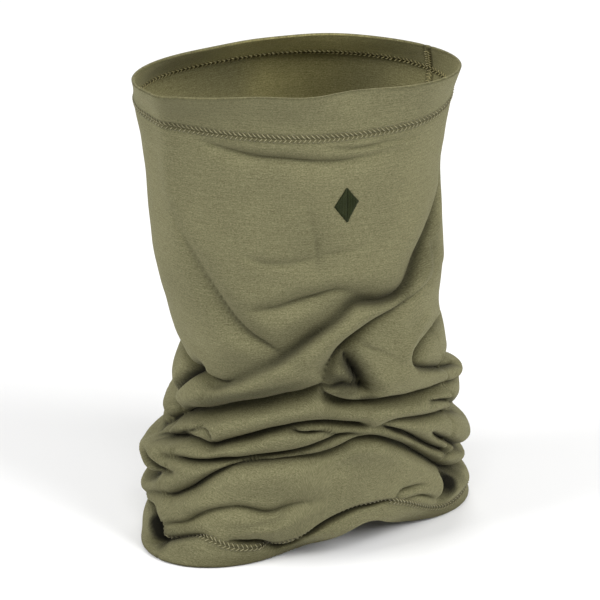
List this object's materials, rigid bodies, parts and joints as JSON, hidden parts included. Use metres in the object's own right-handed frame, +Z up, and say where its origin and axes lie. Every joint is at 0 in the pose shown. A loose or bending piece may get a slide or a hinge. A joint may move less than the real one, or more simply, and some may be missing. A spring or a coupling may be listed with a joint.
{
  "type": "neck gaiter",
  "caption": "Seamed tube of fine jersey knit with a turned, cover-stitched hem at each end, standing with its lower half scrunched into soft rolls.",
  "frame": {"origin": "centre of the bounding box on the surface that the gaiter stands on", "axes": "+Z up along the tube, the embroidered front faces -Y, +X to the right as seen from the front"},
  "size_m": [0.211, 0.1532, 0.309],
  "materials": {
    "jersey": "fine melange knit, matt",
    "jersey_hem": "fine melange knit, doubled, matt",
    "needle_thread": "spun thread, matt",
    "cover_thread": "textured thread, matt",
    "mark_thread": "satin stitch, slight sheen",
    "backing": "non-woven stabiliser and bobbin thread, matt"
  },
  "bodies": {
    "root": {"knit_panel": "jersey", "top_hem": "jersey_hem", "bottom_hem": "jersey_hem", "top_hem_needle_thread_upper": "needle_thread", "top_hem_needle_thread_lower": "needle_thread", "top_hem_cover_thread": "cover_thread", "top_hem_looper_thread": "cover_thread", "bottom_hem_needle_thread_upper": "needle_thread", "bottom_hem_needle_thread_lower": "needle_thread", "bottom_hem_cover_thread": "cover_thread", "bottom_hem_looper_thread": "cover_thread", "side_seam_needle_thread_a": "needle_thread", "side_seam_needle_thread_b": "needle_thread", "side_seam_cover_thread": "cover_thread", "side_seam_looper_thread": "cover_thread", "embroidered_mark": "mark_thread", "embroidery_backing": "backing"}
  },
  "joints": []
}
